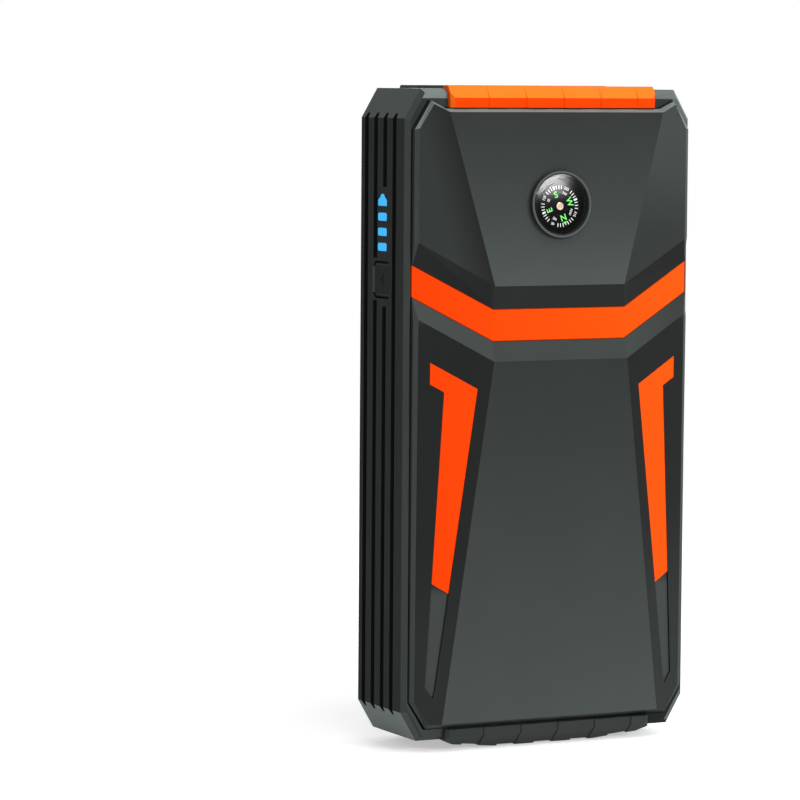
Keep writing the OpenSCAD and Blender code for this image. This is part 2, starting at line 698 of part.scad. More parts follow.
board_half_w = cell_w / 2 + 2;
board_top_z = half_h - 43.65;
board_foot_z = cell_foot_z + 33.5;
board_posts = [for (side = [-1, 1]) for (z = [board_foot_z + 5, board_top_z - 6])
    [side * (board_half_w - 4), z]];
board_back_y = -half_t + 1.5;
board_front_y = board_back_y - board_t;

module front_cover() color(plastic) at_mid() difference() {
    union() {
        difference() {
            facet_solid(cover_back_y);
            intersection() {
                translate([0, skin, 0]) facet_solid(-half_t + 8);
                slab(opening(cover_gap + 2.2), -far, 0);
            }
        }
        at_places(screw_places) rod_y(post_r, -half_t - 2.6, post_top_y);
        at_places(board_posts) rod_y(2.3, -half_t - 4.6, board_front_y);
        // collar that backs the compass
        on_compass() translate([0, 0, -skin - 1.2]) cylinder(r = bezel_r + 0.9, h = 2);
    }
    facet_layer(-1, chevron_t) polygon(chevron_band(inlay_gap));
    for (side = [0, 1]) mirror([side, 0, 0])
        facet_layer(-1, channel_depth) side_channel(channel_end);
    on_compass() translate([0, 0, -skin - 3]) cylinder(r = neck_r + 0.1, h = 10);
    at_places(screw_places) rod_y(screw_r, screw_tip_y - 0.3, far);
    at_places(board_posts) rod_y(small_screw_r, -half_t - 3.6, far);
}

// Corner i of the chevron band from left to right, at its upper or lower edge, front or back
function chevron_corner(i, low, deep) = let (outer = i == 0 || i == 3)
    [[-cover_half_w, -ridge_half, ridge_half, cover_half_w][i],
        -half_t - (outer ? chevron_side_rise : chevron_rise) + deep * chevron_t,
        chevron_top_z + (outer ? chevron_climb : 0) - low * chevron_w];

module chevron_inlay() color(orange) at_mid() polyhedron(
    [for (deep = [0, 1]) for (low = [0, 1]) for (i = [0:3]) chevron_corner(i, low, deep)],
    concat([[8, 0, 4, 12], [3, 11, 15, 7]], [for (i = [0:2]) each [
        [i, i + 1, i + 5, i + 4], [i + 9, i + 8, i + 12, i + 13],
        [i + 8, i + 9, i + 1, i], [i + 4, i + 5, i + 13, i + 12]]]));

module side_inlay() color(orange) facet_layer(0.12, channel_depth)
    offset(delta = -inlay_gap) side_channel(inlay_end);

module side_inlay_right() at_mid() side_inlay();
module side_inlay_left() at_mid() mirror([1, 0, 0]) side_inlay();

// ---------------------------------------------------------------- bumpers

// Section of the upper front bumper in Y and Z, its outer faces drawn in by relief and its
// end face by drop
function bumper_section(rise, low, shoulder, proud, strip_rise, relief, drop) = [
    [-half_t + strip_back, half_h + proud - drop],
    [-half_t - strip_rise, half_h + proud - drop],
    [-half_t - rise + relief, half_h - shoulder],
    [-half_t - rise + relief, half_h - low],
    [-half_t, half_h - low],
    [-half_t, half_h - bumper_seat],
    [-half_t + strip_back, half_h - bumper_seat]];

// Bar under a profile of [distance from the bar's end, height beyond the end face]
module bumper_layer(section, profile, drop) intersection() {
    bar(section, -bumper_half, bumper_half);
    slab(concat([[-bumper_half, 0]],
        [for (p = profile) [-bumper_half + p[0], half_h + p[1] - drop]],
        [for (p = reversed(profile)) [bumper_half - p[0], half_h + p[1] - drop]],
        [[bumper_half, 0]]), -far, far);
}

// Segmented bar: every second segment stands out, and the ends are cut back
module bumper(rise, low, shoulder, proud, strip_rise, profile, end_relief) {
    pitch = 2 * bumper_half / bumper_segments;
    end_cut = 1;
    y_out = -half_t - rise;
    intersection() {
        union() {
            bumper_layer(bumper_section(rise, low, shoulder, proud, strip_rise, segment_relief,
                end_relief), profile, end_relief);
            intersection() {
                bumper_layer(bumper_section(rise, low, shoulder, proud, strip_rise, 0, 0), profile, 0);
                for (i = [0:2:bumper_segments - 1])
                    translate([-bumper_half + i * pitch, -far, 0]) cube([pitch, 2 * far, half_h + far]);
            }
        }
        column([[-bumper_half, -half_t + far], [-bumper_half, y_out + end_cut],
            [-bumper_half + end_cut, y_out], [bumper_half - end_cut, y_out],
            [bumper_half, y_out + end_cut], [bumper_half, -half_t + far]], 0, half_h + far);
    }
}

top_profile = [[0, top_proud]];
foot_profile = [[0, 0.1], [3, foot_proud - 1.5], [0.52 * bumper_half, foot_proud]];
strip_rise = 1.7;
module top_front_bumper() color(orange) at_mid()
    bumper(front_bumper_rise, top_low, 2.45, top_proud, strip_rise, top_profile, 0);

module top_rear_bumper() color(dark_plastic) at_mid() mirror([0, 1, 0])
    bumper(rear_bumper_rise, top_low, 1.6, top_proud, 0.9, top_profile, 0);

module bottom_front_bumper() color(dark_plastic) at_mid() mirror([0, 0, 1])
    bumper(front_bumper_rise, foot_low, 0.95, foot_proud, 0, foot_profile, segment_relief);

module bottom_rear_bumper() color(dark_plastic) at_mid() mirror([0, 0, 1]) mirror([0, 1, 0])
    bumper(rear_bumper_rise, foot_low, 0.95, foot_proud, -0.6, foot_profile, segment_relief);

// ---------------------------------------------------------------- compass

module compass_bezel() color(dark_plastic) at_mid() on_compass() rotate_extrude()
    polygon([[bezel_r - bezel_wall, lens_seat_z], [bezel_r - bezel_wall, bezel_h - 0.3],
        [bezel_r - 0.7, bezel_h], [bezel_r - 0.25, bezel_h - 0.1], [bezel_r, bezel_h - 0.45],
        [bezel_r, bezel_h - 0.85], [bezel_r - 0.35, bezel_h - 1.1], [bezel_r - 0.35, 0],
        [neck_r, 0], [neck_r, -skin - 1.2], [capsule_r + 0.05, -skin - 1.2],
        [capsule_r + 0.05, lens_seat_z]]);

module compass_capsule() color("#101212") at_mid() on_compass() difference() {
    translate([0, 0, lens_seat_z - 0.05 - capsule_depth]) cylinder(r = capsule_r, h = capsule_depth);
    translate([0, 0, lens_seat_z - 0.05 - capsule_depth + capsule_wall])
        cylinder(r = capsule_r - capsule_wall, h = capsule_depth);
}

module compass_pivot() color(brass) at_mid() on_compass() translate([0, -dial_drop, 0]) {
    floor_z = lens_seat_z - 0.05 - capsule_depth + capsule_wall;
    translate([0, 0, floor_z]) cylinder(r = 1.2, h = 0.5);
    translate([0, 0, floor_z]) cylinder(r = pivot_r, h = pivot_tip_z - floor_z);
}

// Card on a hub whose blind bore turns on the pivot
module compass_dial() color("#0c0f0e") at_mid() on_compass() translate([0, -dial_drop, 0]) difference() {
    union() {
        translate([0, 0, dial_z]) cylinder(r = dial_r, h = dial_t);
        translate([0, 0, dial_z - 0.5]) cylinder(r = hub_r, h = dial_t + 0.9);
    }
    translate([0, 0, dial_z - 1]) cylinder(r = pivot_r + 0.05, h = 1.2);
}

module compass_lens() color("#d5e0e2", 0.35) at_mid() on_compass()
    translate([0, 0, lens_seat_z]) rotate_extrude() polygon(concat([[0, 0], [glass_r, 0]],
        [for (i = [8:-1:0]) let (r = glass_r * i / 8)
            [r, lens_edge + dome_h - dome_r + sqrt(dome_r * dome_r - r * r)]]));

// ---------------------------------------------------------------- torch

lens_t = 1.2;
reflector_h = 6;

module at_torch(depth) translate([torch_x, 0, half_h - depth]) children();

module torch_lens() color("#dfe8ec", 0.4) at_mid()
    at_torch(recess_depth + lens_t) cylinder(r = lens_r, h = lens_t);

module torch_reflector() color("#d8dadc") at_mid()
    at_torch(recess_depth + lens_t + reflector_h) rotate_extrude()
        polygon(concat([[4.2, 0], [lens_r - 0.1, 0], [lens_r - 0.1, reflector_h],
            [lens_r - 0.7, reflector_h]],
            [for (i = [6:-1:0]) let (u = i / 7)
                [2.6 + (lens_r - 3.3) * sqrt(u), 0.6 + (reflector_h - 0.6) * u]],
            [[2.6, 0]]));

// Light chip on a round metal board that closes the back of the reflector
module torch_emitter() color("#e9e4c0") at_mid()
    at_torch(torch_bottom - 1.2) {
        star_h = torch_bottom - 1.2 - recess_depth - lens_t - reflector_h;
        cylinder(r = lens_r - 0.1, h = star_h);
        translate([0, 0, star_h - eps]) cylinder(r = 1.7, h = 1.3);
    }

// ---------------------------------------------------------------- port covers

skirt = 0.9;

// Hinged cover, drawn shut: barrel along its front edge, sealing pad under it
module port_cover(x, w, pad_w) translate([x, 0, 0]) difference() {
    union() {
        intersection() {
            column(flap_outline(w, 0), half_h - flap_t, half_h);
            translate([-w / 2, hinge_y, half_h - flap_t - 1]) cube([w, flap_d, flap_t + 2]);
        }
        translate([0, hinge_y, hinge_z])
            rod_x(barrel_r, -w / 2 + flap_corner, w / 2 - flap_corner);
        translate([0, pocket_mid, 0])
            column(cut_rect(pad_w, pocket_d - 0.6, 0.8), half_h - flap_t - skirt + 0.1,
                half_h - flap_t + eps);
    }
    translate([0, hinge_y, hinge_z]) rod_x(pin_r + pin_gap, -w, w);
}

mark_depth = 0.35;
mark_z = half_h - mark_depth / 2 + 1;
mark_h = mark_depth + 2;
mark_y = 4.9;
grip_y = [-5.9, 8.1];

// Plus and minus marks beside a dividing line
module jump_cover() color(plastic) at_mid() difference() {
    port_cover(jump_x, jump_cover_w, 14.2);
    translate([jump_x, 0.4, mark_z]) {
        cube([10.4, 0.5, mark_h], center = true);
        for (y = [-mark_y, mark_y]) translate([0, y, 0]) cube([0.8, 3.4, mark_h], center = true);
        translate([0, mark_y, 0]) cube([3.4, 0.8, mark_h], center = true);
    }
}

// Two long grip grooves
module usb_cover() color(plastic) at_mid() difference() {
    port_cover(usb_x, usb_cover_w, 26.2);
    for (y = grip_y) translate([usb_x, y, mark_z]) cube([27.8, 0.8, mark_h], center = true);
}

module hinge_pin(x, w) color(steel) at_mid()
    translate([x, hinge_y, hinge_z]) rod_x(pin_r, -w / 2 - 1, w / 2 + 1);

module jump_hinge_pin() hinge_pin(jump_x, jump_cover_w);
module usb_hinge_pin() hinge_pin(usb_x, usb_cover_w);

// ---------------------------------------------------------------- sockets

contact_y = [socket_y - contact_pitch / 2, socket_y + contact_pitch / 2];
contact_wall = 0.55;
contact_tail = 4;
socket_h = contact_bore + 3;

module jump_socket() color("#2a3f8f") at_mid() difference() {
    translate([socket_x, socket_y, 0]) {
        column(cut_rect(socket_w, socket_d, 1.5), half_h - socket_face - socket_h,
            half_h - socket_face);
        column(cut_rect(socket_w + 3, socket_d + 3, 1.5), half_h - port_wall - 2,
            half_h - port_wall);
    }
    for (y = contact_y) translate([socket_x, y, half_h - socket_face - socket_h - 1])
        cylinder(r = contact_r + contact_wall, h = socket_h + 2);
}

module jump_contacts() color(brass) at_mid()
    for (y = contact_y) translate([socket_x, y, half_h - socket_face - socket_h]) difference() {
        union() {
            cylinder(r = contact_r + contact_wall, h = socket_h);
            translate([0, 0, -contact_tail]) cylinder(r = contact_r - 0.4, h = contact_tail + eps);
        }
        translate([0, 0, socket_h - contact_bore]) cylinder(r = contact_r, h = contact_bore + 1);
    }

// Flat copper bars from the contacts' tails to the main board
module bus_bars() color("#c4703a") at_mid() {
    tail_z = half_h - socket_face - socket_h - contact_tail;
    for (i = [0, 1]) {
        x = socket_x + (i == 0 ? -3.6 : 0.3);
        turn_z = board_top_z - (i == 0 ? 4.2 : 2);
        bar([[contact_y[i] - 0.5, tail_z], [contact_y[i] + 0.5, tail_z],
            [contact_y[i] + 0.5, turn_z], [board_back_y, turn_z],
            [board_back_y, turn_z + 1], [contact_y[i] - 0.5, turn_z + 1]], x, x + 3.3);
    }
}

module usb_a_shells() color(steel) at_mid()
    for (y = usb_a_y) translate([usb_a_x, y, port_board_z]) difference() {
        column(cut_rect(usb_a_w + 2 * usb_a_wall, usb_a_h + 2 * usb_a_wall, 0.3), 0, usb_depth);
        column(cut_rect(usb_a_w, usb_a_h, 0.2), 1, usb_depth + 1);
    }

module usb_a_tongues() color("#e8e8e6") at_mid()
    for (y = usb_a_y) translate([usb_a_x, y, port_board_z + 1]) {
        translate([-usb_a_w / 2 + 0.75, 0.3, 0]) cube([usb_a_w - 1.5, 1.9, usb_depth - 2]);
        column(cut_rect(usb_a_w, usb_a_h, 0.2), 0, 2);
    }

module usb_c_shell() color(steel) at_mid() translate([usb_c_x, pocket_mid, port_board_z])
    difference() {
        column(cut_rect(usb_c_w, usb_c_h, 1.2), 0, usb_depth);
        column(cut_rect(usb_c_w - 0.6, usb_c_h - 0.6, 1), 1, usb_depth + 1);
    }

module usb_c_tongue() color("#1a1b1b") at_mid() translate([usb_c_x, pocket_mid, port_board_z + 1]) {
    translate([-3.3, -0.35, 0]) cube([6.6, 0.7, usb_depth - 2]);
    column(cut_rect(usb_c_w - 0.6, usb_c_h - 0.6, 1), 0, 2);
}

// Small screw whose head stands out along +Z
module small_screw(length) {
    translate([0, 0, -length]) cylinder(r = small_screw_r, h = length + eps);
    difference() {
        cylinder(r = 1.5, h = 0.9);
        translate([0, 0, 0.4]) for (a = [0, 90]) rotate([0, 0, a])
            translate([-1, -0.2, 0]) cube([2, 0.4, 1]);
    }
}

module port_board() color(board_green) at_mid() difference() {
    translate([usb_x + 15.2 - 29, -9.3, port_board_z - board_t]) cube([29, 18.6, board_t]);
    for (p = port_posts) translate([p[0], p[1], port_board_z - board_t - 1])
        cylinder(r = small_screw_r + 0.1, h = board_t + 2);
}

module port_board_screws() color(steel) at_mid()
    for (p = port_posts) translate([p[0], p[1], port_board_z - board_t])
        mirror([0, 0, 1]) small_screw(board_t + 3.5);

// ---------------------------------------------------------------- button and gauge

light_guide_t = 1;

module power_button() color(dark_plastic) at_mid() translate([0, 0, button_z]) difference() {
    union() {
        bar(cut_rect(button_w, button_h, 1.4), -half_w + 0.35, -half_w + wall + flange_gap + eps);
        bar(cut_rect(button_w + 2, button_h + 2, 1.4), -half_w + wall + flange_gap,
            -half_w + wall + flange_gap + button_flange);
    }
    // shallow flash mark
    translate([-half_w + 0.35 - 1, 0, 0]) bar([[-0.5, 1.8], [1.7, -0.35], [0.35, -0.35],
        [0.5, -1.8], [-1.7, 0.35], [-0.35, 0.35]], 0, 1.25);
}

module button_switch() color("#c9c9c4") at_mid() translate([0, 0, button_z]) {
    bar(cut_rect(6, 6, 0.4), board_x - 1.4, board_x);
    rod_x(1.6, board_x - plunger_h, board_x - 1.4 + eps);
}

// Clear plate with a light pipe for each window and a foot for each lamp
module gauge_light_guide() color(light_blue) at_mid() {
    guide_x = -half_w + wall;
    bar([[-light_w / 2 - 0.9, light_z(0) - 2], [light_w / 2 + 0.9, light_z(0) - 2],
        [light_w / 2 + 0.9, light_z(3) + 3.4], [-light_w / 2 - 0.9, light_z(3) + 3.4]],
        guide_x, guide_x + light_guide_t);
    for (i = [0:3]) {
        bar(light_outline(i, 0), -half_w + 0.1, guide_x + eps);
        translate([0, 0, light_z(i)]) bar(cut_rect(3, 1.6, 0.2), guide_x, board_x - 1);
    }
}

// Board with its four lamps
module gauge_board() color(board_green) at_mid() difference() {
    union() {
        translate([board_x, -6.5, button_z - 13.4]) cube([1.2, 15, 45]);
        for (i = [0:3]) translate([0, 0, light_z(i)])
            bar(cut_rect(1.8, 1.2, 0.1), board_x - 1, board_x + eps);
    }
    for (p = gauge_posts) translate([0, p[0], p[1]])
        rod_x(small_screw_r + 0.1, board_x - 1, board_x + 2);
}

module gauge_board_screws() color(steel) at_mid()
    for (p = gauge_posts) translate([board_x + 1.2, p[0], p[1]])
        rotate([0, 90, 0]) small_screw(1.2 + 2.4);

// ---------------------------------------------------------------- battery and boards

cells = 3;
pad_t = 1;
stack_back_y = cavity_back_y - pad_t;
tape_t = (stack_back_y - board_back_y - 0.9 - cells * cell_t) / (cells - 1);
function cell_y(i) = stack_back_y - (i + 0.5) * cell_t - i * tape_t;
stack_front_y = cell_y(cells - 1) - cell_t / 2;
tab_h = 5;

module battery_cells() color("#8d9499") at_mid()
    for (i = [0:cells - 1]) translate([0, cell_y(i), stack_mid_z])
        slab(cut_rect(cell_w, cell_l, 1.6), -cell_t / 2, cell_t / 2);

// Foam at the back and the front of the stack, and tape between the cells
module cell_pads() color("#4a4c4e") at_mid() translate([0, 0, stack_mid_z]) {
    slab(cut_rect(cell_w - 8, cell_l - 12, 2), stack_back_y, cavity_back_y);
    slab(cut_rect(cell_w - 8, cell_l - 44, 2), board_back_y, stack_front_y);
    for (i = [0:cells - 2])
        slab(cut_rect(cell_w - 16, cell_l - 20, 2), cell_y(i) - cell_t / 2 - tape_t,
            cell_y(i) - cell_t / 2);
}

module cell_tabs() color("#b9bcbe") at_mid()
    for (i = [0:cells - 1]) for (side = [-1, 1])
        translate([side * 14 - 4, cell_y(i) - 0.15, cell_top_z]) cube([8, 0.3, tab_h]);

module tab_board() color(board_green) at_mid()
    translate([-20, board_back_y, cell_top_z + tab_h])
        cube([40, stack_back_y - board_back_y - 1, 1.2]);

module main_board() color(board_green) at_mid() difference() {
    slab([[-board_half_w, board_foot_z], [board_half_w, board_foot_z],
        [board_half_w, board_top_z], [-board_half_w, board_top_z]], board_front_y, board_back_y);
    at_places(board_posts) rod_y(small_screw_r + 0.1, -far, far);
}

// Power transistors, coils, capacitors and the controller on the front of the main board
module board_components() color("#222425") at_mid() translate([0, board_front_y, board_top_z]) {
    for (i = [0:5]) translate([-22 + i * 7.6, -2.3, -17]) cube([6, 2.3, 8]);
    for (x = [-22, -8]) translate([x, -3.6, -37]) cube([10, 3.6, 10]);
    for (x = [10, 18]) for (z = [-43, -35]) translate([x, 0, z]) rod_y(3, -4, 0);
    translate([-14, -1.2, -67]) cube([10, 1.2, 10]);
}

module main_board_screws() color(steel) at_mid()
    at_places(board_posts) translate([0, board_back_y, 0])
        rotate([-90, 0, 0]) small_screw(board_t + 2.8);

rear_case();
front_cover();
case_seal();
case_screws();
chevron_inlay();
side_inlay_left();
side_inlay_right();
top_front_bumper();
top_rear_bumper();
bottom_front_bumper();
bottom_rear_bumper();
compass_bezel();
compass_capsule();
compass_pivot();
compass_dial();
compass_lens();
torch_lens();
torch_reflector();
torch_emitter();
jump_cover();
jump_hinge_pin();
jump_socket();
jump_contacts();
bus_bars();
usb_cover();
usb_hinge_pin();
usb_a_shells();
usb_a_tongues();
usb_c_shell();
usb_c_tongue();
port_board();
port_board_screws();
power_button();
button_switch();
gauge_light_guide();
gauge_board();
gauge_board_screws();
main_board();
board_components();
main_board_screws();
battery_cells();
cell_pads();
cell_tabs();
tab_board();
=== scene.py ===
"""Looks of the jump starter pack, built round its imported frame. Metres, in the row frame."""

import math
import bmesh
import bpy
from mathutils import Matrix, Vector


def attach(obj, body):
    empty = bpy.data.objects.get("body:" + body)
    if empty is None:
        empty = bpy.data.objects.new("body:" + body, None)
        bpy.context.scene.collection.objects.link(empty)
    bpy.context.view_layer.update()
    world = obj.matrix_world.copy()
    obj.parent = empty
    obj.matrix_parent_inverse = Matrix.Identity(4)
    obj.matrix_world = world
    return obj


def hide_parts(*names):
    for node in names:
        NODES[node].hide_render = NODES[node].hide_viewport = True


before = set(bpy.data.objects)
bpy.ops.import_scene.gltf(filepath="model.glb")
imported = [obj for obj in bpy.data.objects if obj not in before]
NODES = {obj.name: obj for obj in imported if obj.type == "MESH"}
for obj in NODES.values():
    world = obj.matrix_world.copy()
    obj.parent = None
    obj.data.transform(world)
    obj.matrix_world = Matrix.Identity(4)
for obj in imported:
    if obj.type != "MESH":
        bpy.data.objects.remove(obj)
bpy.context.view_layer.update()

MM = 0.001

# Places that the painted light and shade go by, in millimetres
SIDE_FRONT_Y = -10.45
SLANTS_FROM_Z = 93.15
BUTTON_Y = 3.05
BUTTON_Z = 131.05
BEZEL_RIM_Z = 152.4
CHEVRON_Z = 119.05
CHEVRON_BEND_X = 20.8
CHEVRON_SLOPE = 0.5455


# ---------------------------------------------------------------- nodes


def feed(tree, socket, value):
    """Links a socket to the Value or socket given, or sets it to a plain value."""
    source = value.socket if isinstance(value, Value) else value
    if isinstance(source, bpy.types.NodeSocket):
        tree.links.new(source, socket)
    else:
        socket.default_value = source


def add_node(tree, kind, inputs=None, **options):
    """Node with its options set and its inputs fed, by number or name."""
    node = tree.nodes.new(kind)
    for name, option in options.items():
        setattr(node, name, option)
    for key, value in (inputs or {}).items():
        feed(tree, node.inputs[key], value)
    return node


class Value:
    """Number that a tree's nodes work out, with the arithmetic that tones are written in."""

    def __init__(self, tree, socket):
        self.tree = tree
        self.socket = socket

    def combine(self, operation, other=0.0):
        node = add_node(self.tree, "ShaderNodeMath", {0: self, 1: other}, operation=operation)
        return Value(self.tree, node.outputs[0])

    def __add__(self, other):
        return self.combine("ADD", other)

    def __sub__(self, other):
        return self.combine("SUBTRACT", other)

    def __mul__(self, other):
        return self.combine("MULTIPLY", other)

    __rmul__ = __mul__

    def __abs__(self):
        return self.combine("ABSOLUTE")

    def at_least(self, other):
        return self.combine("MAXIMUM", other)

    def span(self, low, high, start=0.0, stop=1.0, curve="LINEAR"):
        """Goes from low to high as this number goes from start to stop, and holds beyond them."""
        inputs = {"Value": self, "From Min": start, "From Max": stop, "To Min": low, "To Max": high}
        node = add_node(self.tree, "ShaderNodeMapRange", inputs, interpolation_type=curve)
        return Value(self.tree, node.outputs["Result"])

    def above(self, start, stop):
        """0 up to start, rising to 1 at stop."""
        return self.span(0, 1, start, stop)

    def below(self, start, stop):
        """1 up to start, falling to 0 at stop."""
        return self.span(1, 0, start, stop)

    def levels(self, *stops):
        """Read off a line through (this number, level) stops."""
        first, last = stops[0][0], stops[-1][0]
        node = add_node(self.tree, "ShaderNodeValToRGB", {"Fac": self.above(first, last)})
        points = node.color_ramp.elements
        for at, level in stops[1:-1]:
            points.new((at - first) / (last - first))
        for point, (at, level) in zip(points, stops):
            point.color = (level, level, level, 1)
        return Value(self.tree, node.outputs["Color"])


class Graph:
    """Node material in object coordinates, which here are the row frame's."""

    def __init__(self, name):
        self.material = bpy.data.materials.new(name)
        self.material.use_nodes = True
        self.tree = self.material.node_tree
        self.tree.nodes.clear()
        self.output = add_node(self.tree, "ShaderNodeOutputMaterial")
        self.shader = add_node(self.tree, "ShaderNodeBsdfPrincipled")
        self.coordinates = add_node(self.tree, "ShaderNodeTexCoord").outputs
        self.show(self.shader)

    def show(self, shader):
        feed(self.tree, self.output.inputs[0], shader.outputs[0])

    def surface(self, **values):
        """Material, with sockets of its shader fed by name."""
        for key, value in values.items():
            feed(self.tree, self.shader.inputs[key.replace("_", " ")], value)
        return self.material

    def split(self, vector):
        node = add_node(self.tree, "ShaderNodeSeparateXYZ", {0: vector})
        return [Value(self.tree, part) for part in node.outputs]

    def place(self):
        """Object coordinates as three numbers, in millimetres."""
        return self.split(self.scale(self.coordinates["Object"], 1 / MM))

    def facing(self):
        """Object-space normal as three numbers."""
        return self.split(self.coordinates["Normal"])

    def noise(self, per_metre, detail=2.0, stretch=None):
        vector = self.coordinates["Object"]
        if stretch:
            vector = add_node(self.tree, "ShaderNodeMapping", {"Vector": vector, "Scale": stretch}).outputs[0]
        inputs = {"Vector": vector, "Scale": per_metre, "Detail": detail}
        return Value(self.tree, add_node(self.tree, "ShaderNodeTexNoise", inputs).outputs["Fac"])

    def bands(self, period, direction, turn):
        """Soft bands across a direction, turned about Y."""
        inputs = {"Vector": self.coordinates["Object"], "Rotation": (0, turn, 0)}
        turned = add_node(self.tree, "ShaderNodeMapping", inputs)
        inputs = {"Vector": turned.outputs[0], "Scale": math.pi / 10 / period}
        node = add_node(self.tree, "ShaderNodeTexWave", inputs, bands_direction=direction)
        return Value(self.tree, node.outputs["Fac"])

    def ramp(self, factor, low, high, start=0.3, stop=0.7):
        """Colour that goes from low to high as the factor goes from start to stop."""
        node = add_node(self.tree, "ShaderNodeValToRGB", {"Fac": factor})
        for point, at, colour in zip(node.color_ramp.elements, (start, stop), (low, high)):
            point.position = at
            point.color = colour
        return node.outputs["Color"]

    def mix(self, factor, a, b):
        """Number between a and b."""
        node = add_node(self.tree, "ShaderNodeMix", {0: factor, 2: a, 3: b}, data_type="FLOAT")
        return Value(self.tree, node.outputs[0])

    def blend(self, factor, a, b):
        """Colour between a and b."""
        return add_node(self.tree, "ShaderNodeMix", {0: factor, 6: a, 7: b}, data_type="RGBA").outputs[2]

    def scale(self, vector, factor):
        """Vector or colour times a number."""
        inputs = {0: vector, "Scale": factor}
        return add_node(self.tree, "ShaderNodeVectorMath", inputs, operation="SCALE").outputs[0]

    def bump(self, height, depth):
        inputs = {"Height": height, "Distance": depth, "Strength": 1.0}
        return add_node(self.tree, "ShaderNodeBump", inputs).outputs[0]


# ---------------------------------------------------------------- materials


def screen(r, g, b):
    """Linear colour of an 8-bit screen colour."""
    parts = []
    for value in (r / 255, g / 255, b / 255):
        parts.append(value / 12.92 if value <= 0.04045 else ((value + 0.055) / 1.055) ** 2.4)
    return (*parts, 1.0)


def shade(colour, factor):
    return (*(min(1.0, part * factor) for part in colour[:3]), 1.0)


def moulded(name, colour, roughness=0.5, specular=0.15, grain=0.35 * MM, relief=0.008 * MM, tone=None):
    """Moulded plastic: a fine spark-eroded grain, and a little unevenness in tone and gloss. A tone function,
    where given, multiplies painted light and shade into the colour.
    """
    g = Graph(name)
    plain = g.ramp(g.noise(45, detail=3), shade(colour, 0.96), shade(colour, 1.04))
    fine = g.noise(1 / grain)
    gloss = fine + g.noise(110)
    return g.surface(
        Base_Color=g.scale(plain, tone(g)) if tone else plain,
        Roughness=gloss.span(roughness - 0.05, roughness + 0.05),
        Normal=g.bump(fine, relief),
        Specular_IOR_Level=specular)


def woven(name, left, right, tone=None):
    """Inlay plastic with a fine diagonal cross-hatch, a little redder to the left. A tone function, where
    given, multiplies painted shadow into the colour.
    """
    period, turn = 0.5 * MM, math.radians(40)
    g = Graph(name)
    weave = g.bands(period, "X", turn) * g.bands(period, "Z", turn)
    x, _, _ = g.place()
    hue = g.ramp(x.above(-42, 42), left, right, 0.0, 1.0)
    hatched = g.scale(hue, weave.span(0.84, 1.06, 0.0, 0.8))
    return g.surface(
        Base_Color=g.scale(hatched, tone(g)) if tone else hatched,
        Roughness=g.noise(900).span(0.5, 0.65),
        Normal=g.bump(weave, 0.012 * MM),
        Specular_IOR_Level=0.05)


def two_tone(name, colour, pale):
    """Moulded plastic with painted highlights: paler on its upward chamfers and at its left end."""
    g = Graph(name)
    nx, _, nz = g.facing()
    # Painted highlight on the upward chamfers and the left end
    chamfer = nz.above(0.3, 0.5) * nz.below(0.8, 0.9)
    painted_highlight = chamfer.at_least(nx.span(0.55, 0, -0.6, -0.4))
    mottle = g.noise(90, detail=3)
    return g.surface(
        Base_Color=g.blend(painted_highlight, g.ramp(mottle, shade(colour, 0.96), colour),
                           g.ramp(mottle, shade(pale, 0.94), pale)),
        Roughness=g.noise(900).span(0.5, 0.65),
        Normal=g.bump(g.noise(3200), 0.008 * MM),
        Specular_IOR_Level=0.05)


def metal(name, colour, roughness, stretch=None):
    """Metal, a little streaky in tone and gloss."""
    g = Graph(name)
    streaks = g.noise(700, 3, stretch)
    return g.surface(
        Base_Color=g.ramp(streaks, shade(colour, 0.9), shade(colour, 1.05)),
        Roughness=streaks.span(max(0.02, roughness - 0.06), roughness + 0.06),
        Normal=g.bump(streaks, 0.004 * MM),
        Metallic=1.0)


def clear(name, tint, roughness, ior=1.47):
    g = Graph(name)
    return g.surface(
        Base_Color=g.ramp(g.noise(30), shade(tint, 0.985), tint),
        Roughness=g.noise(260).span(roughness, roughness + 0.015),
        Transmission_Weight=1.0,
        IOR=ior)


def lit(name, colour, strength):
    """Plastic lit from behind, a little uneven."""
    g = Graph(name)
    glow = g.ramp(g.noise(500), shade(colour, 0.94), colour)
    return g.surface(
        Base_Color=glow,
        Emission_Color=glow,
        Emission_Strength=strength,
        Roughness=g.noise(1500).span(0.3, 0.42),
        Specular_IOR_Level=0.1)


def printed(name, colour, strength):
    """Print that glows a little, so that it reads through the glass."""
    g = Graph(name)
    ink = g.ramp(g.noise(2600), shade(colour, 0.82), colour, 0.25, 0.6)
    return g.surface(
        Base_Color=ink,
        Emission_Color=ink,
        Emission_Strength=strength,
        Roughness=g.noise(1800).span(0.45, 0.6),
        Normal=g.bump(g.noise(3000), 0.01 * MM),
        Specular_IOR_Level=0.3)
